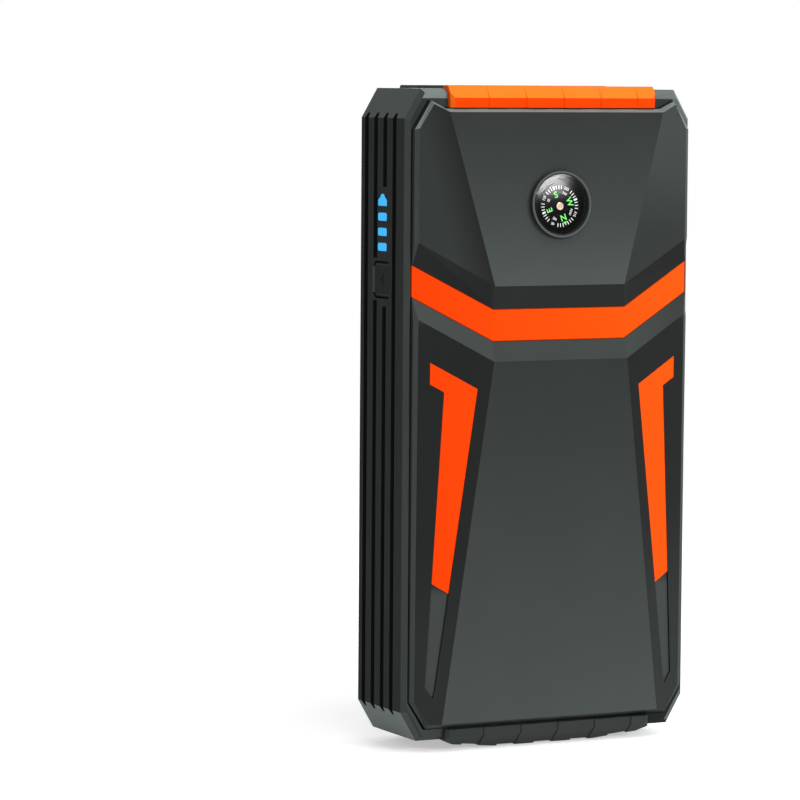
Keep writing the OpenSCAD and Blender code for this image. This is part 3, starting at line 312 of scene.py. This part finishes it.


# ---------------------------------------------------------------- painted light and shade, by place and direction


def cover_tone(g):
    """Painted light and shade of the front cover: two panels in painted shading that lightens downwards,
    between side facets darkened with painted shade.
    """
    x, y, z = g.place()
    nx, ny, nz = g.facing()
    across, sideways = abs(x), abs(nx)
    right_half = x.above(-1, 1)
    lower_half = z.below(119, 121)

    # Panels above and below the chevron, in painted shading that lightens downwards
    panel = g.mix(lower_half, z.levels((130, 1.6), (151, 1.05), (176, 0.65)),
                  z.levels((8, 1.55), (44, 1.15), (84, 0.78), (109, 0.62)))

    # Side facets in painted shade: the upper left one lightens away from its ridge, and each lower one has a
    # pale foot
    from_ridge = across - 0.275 * z
    upper = g.mix(right_half, from_ridge.span(0.26, 0.62, -15.2, -6),
                  z.levels((130, 0.6), (145, 0.65), (163, 1.1), (176, 1.2)))
    lower = g.mix(right_half, z.levels((10, 0.45), (34, 0.38), (55, 0.24), (110, 0.22)),
                  z.levels((10, 0.6), (36, 0.5), (64, 0.26), (85, 0.21), (110, 0.21)))
    outward = 0.235 * across - 0.972 * y - 0.008 * z
    foot = outward.below(22.5, 22.8) * z.below(44, 48)
    side = g.mix(lower_half, upper, g.mix(foot, lower, 1.2))
    tone = g.mix(sideways.above(0.1, 0.16), panel, side)

    # Bands by the chevron: the upper leans down, in painted shade; the lower leans up, in painted light
    over = x.levels((-44, 0.27), (-22, 0.2), (-20.5, 0.35), (20.5, 0.33), (22, 0.15), (44, 0.08))
    under = x.levels((-44, 1.2), (-21.5, 1.2), (-20.5, 1.05), (20.5, 1.05), (21.5, 1.15), (44, 0.75))
    # Bottom bevel in painted light, paler to the left and through the middle, darker at the right
    bottom_edge = x.levels((-44, 1.3), (20, 1.3), (32, 0.4), (44, 0.4))
    tone = g.mix(nz.below(-0.085, -0.055) * z.above(115, 120), tone, over)
    tone = g.mix(nz.below(-0.5, -0.3), tone, bottom_edge)
    tone = g.mix(nz.above(0.1, 0.2), tone, under)

    # Painted highlights on the edges at the sides, the upper corners and the top
    tone = g.mix(sideways.above(0.4, 0.5), tone, 1.0)
    corner = nz.above(0.12, 0.18) * z.above(165, 168) * sideways.above(0.3, 0.38)
    tone = g.mix(corner, tone, 4.2)
    tone = g.mix(nz.above(0.6, 0.7), tone, 5.5)

    # Steep walls in painted shade, near black within the grooves
    within = across.below(42.9, 43.2) * z.below(165, 170)
    return g.mix(ny.above(-0.12, -0.02), tone, g.mix(within, 0.5, 0.02))


def from_button(g):
    """Distances along the side and up from the button's middle."""
    _, y, z = g.place()
    return abs(y - BUTTON_Y), abs(z - BUTTON_Z)


def case_tone(g):
    """Painted light and shade of the rear case: ribs and grooves darkened with painted shade, the grooves
    darker still, and painted highlights on the chamfers round the front.
    """
    x, y, z = g.place()
    nx, ny, nz = g.facing()
    across = abs(x)

    # Grooved sides in painted shade, darker with depth and on the grooves' walls; a painted highlight at the
    # button's edge
    grooved = across.above(43.9, 44.1) * y.above(SIDE_FRONT_Y - 0.15, SIDE_FRONT_Y + 0.05)
    by_depth = across.span(0.03, 0.52, 44.3, 44.9)
    along, up = from_button(g)
    mouth = along.above(5.5, 5.55) * along.below(5.65, 5.7) * up.below(5.3, 5.4)
    walls = g.mix(mouth, 0.06, 3)
    tone = g.mix(grooved, 1.4, g.mix(abs(ny).above(0.5, 0.8), by_depth, walls))

    # Big slanted corners, in painted light that is stronger where they face down
    corner = abs(nz).above(0.25, 0.45) * abs(nx).above(0.4, 0.6)
    tone = g.mix(corner, tone, nz.span(5.1, 2.3, -0.2, 0.2))

    # Chamfer round the front, with painted highlight and shade by the way it faces
    front = y.below(SIDE_FRONT_Y - 0.05, SIDE_FRONT_Y + 0.05)
    pale = x.levels((-30, 4.6), (30, 3.8))
    rising = g.mix(nz.above(0.2, 0.4), 1.4, g.mix(nx.above(-0.4, -0.2), 1.3, pale))
    falling = x.levels((-45, 2.1), (-30, 1.5), (5, 0.8), (30, 0.2))
    falling = g.mix(nx.above(0.3, 0.4), falling, 2.2)
    chamfer = g.mix(nz.below(-0.4, -0.2), rising, falling)
    tone = g.mix(front * ny.below(-0.2, -0.1), tone, chamfer)

    # Flat strip inside the chamfer, in painted shading, with its slanted corners and a painted highlight on
    # its upper edge
    upper_half = z.above(90, 100)
    strip = g.mix(upper_half, x.levels((-30, 1.4), (30, 0.45)), x.levels((-30, 0.95), (30, 0.85)))
    outward = 0.863 * across + 0.505 * abs(z - SLANTS_FROM_Z)
    slant = g.mix(x.above(-10, 10), g.mix(upper_half, 0.9, 0.7), 3.0)
    strip = g.mix(outward.above(78.2, 78.4), strip, slant)
    strip = g.mix(z.above(181.6, 181.8), strip, pale)
    return g.mix(front * ny.below(-0.99, -0.97), tone, strip)


def button_tone(g):
    """Painted shading of the button: painted shadow in the slots above and below, and a painted highlight on
    its rim.
    """
    along, up = from_button(g)
    slot = up.above(4.45, 4.6) * along.below(3.9, 4.1)
    inside = up.below(4.35, 4.45)
    brow = up.above(4.0, 4.1) * inside
    cheek = along.above(4.7, 4.8) * along.below(5.1, 5.2)
    rim = brow.at_least(cheek) * inside
    return g.mix(slot, g.mix(rim, 1.1, 2.1), 0.1)


def chevron_tone(g):
    """Painted shadow on the chevron: a thin dark line of painted shadow along its upper and lower edges,
    which rise with its arms.
    """
    x, _, z = g.place()
    rise = CHEVRON_SLOPE * (abs(x) - CHEVRON_BEND_X).at_least(0)
    from_middle = abs(z - CHEVRON_Z - rise)
    return from_middle.span(1, 0.3, 4.2, 4.35)


def bezel_tone(g):
    """Painted shading of the compass ring: a painted highlight on its rim, between walls darkened with
    painted shade.
    """
    x, _, z = g.place()
    _, ny, _ = g.facing()
    up = z - BEZEL_RIM_Z
    from_axis = (x * x + up * up).combine("SQRT")
    return g.mix(ny.below(-0.8, -0.6) * from_axis.above(8.6, 8.75), 0.3, 1.9)


# ---------------------------------------------------------------- finishes, some with painted light and shade


# The case, cover, bezel, button, chevron and front bumper carry painted light and shade in their colour.
CASE = moulded("case_plastic", screen(55, 60, 58), 0.55, 0.04, tone=case_tone)
COVER = moulded("cover_plastic", screen(54, 59, 57), 0.5, 0.13, tone=cover_tone)
TRIM = moulded("trim_plastic", screen(50, 55, 53), 0.5, 0.13)
BEZEL = moulded("bezel_plastic", screen(57, 62, 60), 0.4, 0.15, tone=bezel_tone)
BUTTON = moulded("button_plastic", screen(39, 42, 42), 0.6, 0.03, tone=button_tone)
ORANGE = woven("orange_inlay", screen(255, 66, 2), screen(255, 88, 12))
ORANGE_CHEVRON = woven("orange_chevron", screen(255, 66, 2), screen(255, 88, 12), chevron_tone)
ORANGE_BUMPER = two_tone("orange_bumper", screen(255, 65, 2), screen(255, 126, 36))
RUBBER = moulded("seal_rubber", screen(24, 25, 25), 0.7, 0.2)
STEEL = metal("zinc_steel", screen(196, 198, 200), 0.3)
CHROME = metal("reflector_chrome", screen(232, 234, 236), 0.08)
BRASS = metal("contact_brass", screen(214, 172, 92), 0.25)
COPPER = metal("bar_copper", screen(205, 120, 70), 0.3)
FOIL = metal("cell_foil", screen(176, 182, 186), 0.4, (1, 1, 6))
NICKEL = metal("tab_nickel", screen(200, 200, 196), 0.35)
GLASS = clear("compass_glass", screen(250, 252, 252), 0.1, 1.03)
LENS = clear("torch_glass", screen(248, 251, 252), 0.03)
LAMP = moulded("lamp_board", screen(232, 226, 200), 0.4, 0.4, 0.2 * MM)
CAPSULE = moulded("capsule_black", screen(8, 9, 9), 0.6, 0.02, relief=0)
DIAL = moulded("dial_black", screen(6, 7, 7), 0.6, 0.02, relief=0)
BLUE_SOCKET = moulded("socket_blue", screen(42, 66, 150))
WHITE_TONGUE = moulded("tongue_white", screen(232, 232, 226))
BOARD = moulded("board_green", screen(30, 92, 58), 0.35, 0.5, 0.5 * MM)
COMPONENT = moulded("component_black", screen(34, 36, 38))
GLOW = lit("gauge_glow", screen(47, 170, 235), 0.66)
FOAM = moulded("pad_foam", screen(74, 76, 76), 0.85, 0.2, 0.6 * MM, 0.08 * MM)
INK_WHITE = printed("dial_white", screen(244, 246, 244), 0.25)
INK_GREEN = printed("dial_green", screen(122, 232, 112), 0.25)
JEWEL = metal("pivot_jewel", screen(234, 208, 184), 0.25)

FINISHES = {
    CASE: ["rear_case", "jump_cover", "usb_cover"],
    COVER: ["front_cover"],
    TRIM: ["top_rear_bumper", "bottom_front_bumper", "bottom_rear_bumper"],
    BEZEL: ["compass_bezel"],
    BUTTON: ["power_button"],
    ORANGE: ["side_inlay_left", "side_inlay_right"],
    ORANGE_CHEVRON: ["chevron_inlay"],
    ORANGE_BUMPER: ["top_front_bumper"],
    RUBBER: ["case_seal"],
    STEEL: ["case_screws", "jump_hinge_pin", "usb_hinge_pin", "usb_a_shells", "usb_c_shell",
            "port_board_screws", "gauge_board_screws", "main_board_screws"],
    CHROME: ["torch_reflector"],
    BRASS: ["compass_pivot", "jump_contacts"],
    COPPER: ["bus_bars"],
    FOIL: ["battery_cells"],
    NICKEL: ["cell_tabs"],
    LENS: ["torch_lens"],
    LAMP: ["torch_emitter"],
    CAPSULE: ["compass_capsule"],
    DIAL: ["compass_dial"],
    BLUE_SOCKET: ["jump_socket"],
    WHITE_TONGUE: ["usb_a_tongues"],
    BOARD: ["port_board", "gauge_board", "main_board", "tab_board"],
    COMPONENT: ["board_components", "button_switch", "usb_c_tongue"],
    GLOW: ["gauge_light_guide"],
    FOAM: ["cell_pads"],
}
for finish, names in FINISHES.items():
    for name in names:
        slots = NODES[name].data.materials
        slots.clear()
        slots.append(finish)


# ---------------------------------------------------------------- added pieces


def piece(name, mesh, material, body):
    """Links a mesh as a piece that rides on a body."""
    mesh.materials.append(material)
    obj = bpy.data.objects.new(name, mesh)
    bpy.context.scene.collection.objects.link(obj)
    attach(obj, body)
    return obj


def finished(bm, name):
    """Mesh of the bmesh, which is freed."""
    mesh = bpy.data.meshes.new(name)
    bmesh.ops.remove_doubles(bm, verts=bm.verts, dist=1e-7)
    bm.to_mesh(mesh)
    bm.free()
    return mesh


# Frame of the compass card, with +Y up the cover's panel and +Z out of it
CARD_CENTRE = Vector((0, -17.298, 151.85057)) * MM
PANEL_TILT = math.radians(2.73763)
COMPASS = Matrix.Translation(CARD_CENTRE) @ Matrix((
    (1, 0, 0, 0),
    (0, math.sin(PANEL_TILT), -math.cos(PANEL_TILT), 0),
    (0, math.cos(PANEL_TILT), math.sin(PANEL_TILT), 0),
    (0, 0, 0, 1)))

# Card and its print, in millimetres, with north in degrees from the card's +Y
DIAL_DROP = 0.5
CARD_TOP = 0.1
PRINT_THICK = 0.03
NORTH = -160
TICKS = 40
TICK_RADIUS = 5.3
TICK_LENGTH = 1.0
TICK_WIDTH = 0.18
BOLD_TICK_WIDTH = 0.5
WORD_RADIUS = 3.8
WORD_HEIGHT = 0.75
LETTER_RADIUS = 3.3
LETTER_HEIGHT = 1.8
POINTER_RADIUS = 4.95
TYPE_SIZE = 1.38  # over the height of its capitals


def on_card(degrees, radius):
    """Frame on the card, its +Y pointing outwards, at an angle clockwise from north."""
    turn = Matrix.Rotation(math.radians(NORTH - degrees), 4, "Z")
    return COMPASS @ turn @ Matrix.Translation(Vector((0, radius, CARD_TOP)) * MM)


def add_bar(bm, place, width, length):
    """Flat bar centred on a frame, in millimetres."""
    size = Matrix.Diagonal((width * MM, length * MM, PRINT_THICK * MM, 1))
    lift = Matrix.Translation((0, 0, PRINT_THICK * MM / 2))
    bmesh.ops.create_cube(bm, size=1, matrix=place @ lift @ size)


def add_text(bm, place, text, height, bold=0.0):
    """Letters centred on a frame, in millimetres."""
    curve = bpy.data.curves.new("glyph", "FONT")
    curve.body = text
    curve.align_x = "CENTER"
    curve.align_y = "CENTER"
    curve.size = height * TYPE_SIZE * MM
    curve.offset = bold * MM
    curve.extrude = PRINT_THICK / 2 * MM
    curve.resolution_u = 3
    holder = bpy.data.objects.new("glyph", curve)
    bpy.context.scene.collection.objects.link(holder)
    bpy.context.view_layer.update()
    mesh = bpy.data.meshes.new_from_object(holder)
    mesh.transform(place @ Matrix.Translation((0, 0, PRINT_THICK / 2 * MM)))
    bm.from_mesh(mesh)
    bpy.data.objects.remove(holder)
    bpy.data.meshes.remove(mesh)


def add_pointer(bm, place):
    """Flat triangle that points along a frame's +Y."""
    corners = [(-0.55, -0.35), (0.55, -0.35), (0, 0.75)]
    lower, upper = (
        [bm.verts.new(place @ (Vector((x, y, height)) * MM)) for x, y in corners]
        for height in (0, PRINT_THICK))
    bm.faces.new(upper)
    bm.faces.new(list(reversed(lower)))
    for i in range(3):
        after = (i + 1) % 3
        bm.faces.new([lower[i], lower[after], upper[after], upper[i]])


def card_ticks():
    """Ring of ticks, bold at the quarters, with gaps for the numbers and the pointer."""
    bm = bmesh.new()
    for i in range(TICKS):
        from_quarter = i % (TICKS // 4)
        if i == 0 or from_quarter in (4, 5, 6):
            continue
        width = TICK_WIDTH if from_quarter else BOLD_TICK_WIDTH
        add_bar(bm, on_card(i * 360 / TICKS, TICK_RADIUS), width, TICK_LENGTH)
    diagonals = {45: "NE", 135: "SE", 225: "SW", 315: "NW"}
    for angle in diagonals:
        add_text(bm, on_card(angle, TICK_RADIUS), str(angle), WORD_HEIGHT, bold=0.01)
    for angle, word in diagonals.items():
        add_text(bm, on_card(angle, WORD_RADIUS), word, WORD_HEIGHT)
    return finished(bm, "compass_card_ticks")


def card_letters():
    """Letters of the quarters, and the pointer at north."""
    bm = bmesh.new()
    for angle, letter in {0: "N", 90: "E", 180: "S", 270: "W"}.items():
        add_text(bm, on_card(angle, LETTER_RADIUS), letter, LETTER_HEIGHT, bold=0.04)
    add_pointer(bm, on_card(0, POINTER_RADIUS))
    return finished(bm, "compass_card_letters")


def revolved(name, profile, place, turns=48):
    """Mesh turned about a frame's Z axis from a profile of (radius, height) in millimetres."""
    bm = bmesh.new()
    rings = []
    for radius, height in profile:
        rings.append([])
        for k in range(turns if radius else 1):
            angle = 2 * math.pi * k / turns
            spot = Vector((radius * math.cos(angle), radius * math.sin(angle), height))
            rings[-1].append(bm.verts.new(place @ (spot * MM)))
    for a, b in zip(rings, rings[1:]):
        for k in range(turns):
            n = (k + 1) % turns
            if len(a) == 1:
                bm.faces.new([a[0], b[n], b[k]])
            elif len(b) == 1:
                bm.faces.new([a[k], a[n], b[0]])
            else:
                bm.faces.new([a[k], a[n], b[n], b[k]])
    for face in bm.faces:
        face.smooth = True
    return finished(bm, name)


def domed_glass():
    """Glass of the compass, on its CAD solid's profile but with a smooth dome."""
    reach, seat, edge, dome = 8.4, 0.85, 1.45, 0.45
    steps = 20
    ball = (reach ** 2 + dome ** 2) / (2 * dome)
    profile = [(0, seat), (reach, seat), (reach, edge)]
    for k in range(steps - 1, -1, -1):
        radius = reach * k / steps
        profile.append((radius, edge + dome - ball + math.sqrt(ball ** 2 - radius ** 2)))
    mesh = revolved("compass_glass", profile, COMPASS @ Matrix.Translation((0, DIAL_DROP * MM, 0)), 96)
    mesh.set_sharp_from_angle(angle=math.radians(30))
    return mesh


piece("compass_card_ticks", card_ticks(), INK_WHITE, "compass_card")
piece("compass_card_letters", card_letters(), INK_GREEN, "compass_card")
cap = [(0, 0.52), (1.2, 0.16), (1.2, 0.32), (1.1, 0.5), (0.85, 0.64), (0.45, 0.72), (0, 0.75)]
piece("compass_jewel", revolved("compass_jewel", cap, COMPASS), JEWEL, "compass_card")
glass = piece("compass_glass", domed_glass(), GLASS, "case")
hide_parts("compass_lens")
glass.visible_shadow = False
glass.visible_diffuse = False
glass.visible_glossy = False


# ---------------------------------------------------------------- stage


def area_light(name, place, target, size, watts):
    """Rectangular lamp aimed at a target, which the camera doesn't see."""
    lamp = bpy.data.lights.new(name, "AREA")
    lamp.shape = "RECTANGLE"
    lamp.size, lamp.size_y = size
    lamp.energy = watts
    obj = bpy.data.objects.new(name, lamp)
    bpy.context.scene.collection.objects.link(obj)
    obj.location = place
    obj.visible_camera = False
    obj.rotation_mode = "QUATERNION"
    obj.rotation_quaternion = (Vector(target) - Vector(place)).to_track_quat("-Z", "Y")
    return obj


def soften(lamp):
    """Fades an area lamp out towards its edges."""
    lamp.use_nodes = True
    tree = lamp.node_tree
    spot = add_node(tree, "ShaderNodeNewGeometry").outputs["Parametric"]
    fades = []
    for part in add_node(tree, "ShaderNodeSeparateXYZ", {0: spot}).outputs[:2]:
        from_middle = abs(Value(tree, part) - 0.5)
        fades.append(from_middle.span(1, 0, 0.15, 0.5, "SMOOTHSTEP"))
    emitter = next(node for node in tree.nodes if node.type == "EMISSION")
    feed(tree, emitter.inputs["Strength"], fades[0] * fades[1])


def studio_world():
    """World that lights softly, and is white where it is seen, mirrored or looked at through glass."""
    world = bpy.data.worlds.new("studio")
    world.use_nodes = True
    tree = world.node_tree
    tree.nodes.clear()
    rays = add_node(tree, "ShaderNodeLightPath").outputs
    seen = Value(tree, rays["Is Camera Ray"]).at_least(rays["Is Glossy Ray"])
    seen = seen.at_least(rays["Is Transmission Ray"])
    ambient = add_node(tree, "ShaderNodeBackground", {"Color": (1, 1, 1, 1), "Strength": 0.3})
    backdrop = add_node(tree, "ShaderNodeBackground", {"Color": (1, 1, 1, 1), "Strength": 1.0})
    choice = add_node(tree, "ShaderNodeMixShader", {0: seen, 1: ambient.outputs[0], 2: backdrop.outputs[0]})
    add_node(tree, "ShaderNodeOutputWorld", {0: choice.outputs[0]})
    return world


def paper():
    """Paper of the floor, lifted where it is seen and plain white far from the part."""
    g = Graph("floor_paper")
    rays = add_node(g.tree, "ShaderNodeLightPath").outputs
    seen = Value(g.tree, rays["Is Camera Ray"]).at_least(rays["Is Glossy Ray"])
    lift = add_node(g.tree, "ShaderNodeEmission", {"Strength": seen * 0.45})
    near = add_node(g.tree, "ShaderNodeAddShader", {0: g.shader.outputs[0], 1: lift.outputs[0]})
    distance = add_node(g.tree, "ShaderNodeVectorMath", {0: g.coordinates["Object"]}, operation="LENGTH")
    far = Value(g.tree, distance.outputs["Value"]).above(0.35, 0.7)
    white = add_node(g.tree, "ShaderNodeEmission")
    g.show(add_node(g.tree, "ShaderNodeMixShader", {0: seen * far, 1: near.outputs[0], 2: white.outputs[0]}))
    return g.surface(
        Base_Color=g.ramp(g.noise(3), (0.78, 0.78, 0.78, 1), (0.8, 0.8, 0.8, 1)),
        Roughness=g.noise(40).span(0.85, 0.95),
        Specular_IOR_Level=0.1)


def paper_floor():
    """Sheet just under the part."""
    mesh = bpy.data.meshes.new("floor")
    mesh.from_pydata([(-6, -6, 0), (6, -6, 0), (6, 6, 0), (-6, 6, 0)], [], [(0, 1, 2, 3)])
    mesh.materials.append(paper())
    floor = bpy.data.objects.new("floor", mesh)
    bpy.context.scene.collection.objects.link(floor)
    floor.location.z = -0.2 * MM


def fitted_camera():
    """Camera fitted to the photograph, by its focal length in pixels, its place and its axes."""
    focal_pixels, photo_width, sensor_width = 4042.11, 800, 36
    camera = bpy.data.cameras.new("camera")
    camera.sensor_width = sensor_width
    camera.lens = focal_pixels / photo_width * sensor_width
    camera.clip_start = 0.05
    camera.clip_end = 60
    place = (-0.54015, -1.00724, 0.18947)
    right = Vector((0.89610, -0.44380, 0.00715))
    down = Vector((-0.02978, -0.07618, -0.99665))
    ahead = Vector((0.44285, 0.89288, -0.08148))
    viewer = bpy.data.objects.new("camera", camera)
    bpy.context.scene.collection.objects.link(viewer)
    viewer.matrix_world = Matrix.Translation(place) @ Matrix((right, -down, -ahead)).transposed().to_4x4()
    return viewer


MIDDLE = (0, 0, 0.09)
key = area_light("key", (0.364, -1.0, 0.455), MIDDLE, (0.45, 0.22), 6)
key.visible_glossy = False
area_light("over", (0.1, -0.5, 1.2), MIDDLE, (0.8, 0.6), 6)
area_light("fill", (-0.6, -1.2, 0.5), MIDDLE, (0.6, 0.6), 3)
area_light("right", (1.2, 0.3, 0.4), MIDDLE, (0.6, 0.6), 5)
area_light("back", (0.6, 1.1, 0.6), MIDDLE, (0.8, 0.6), 7)

# Soft-edged card that only the compass glass sees, as the crescent on it
sheen = area_light("sheen", (0.37, -0.93, 0.41), (0, -0.02, 0.152), (0.46, 0.34), 1400)
soften(sheen.data)
sheen.light_linking.receiver_collection = bpy.data.collections.new("sheen_receivers")
sheen.light_linking.receiver_collection.objects.link(glass)

paper_floor()
scene = bpy.context.scene
scene.world = studio_world()
scene.camera = fitted_camera()
scene.view_settings.view_transform = "Standard"
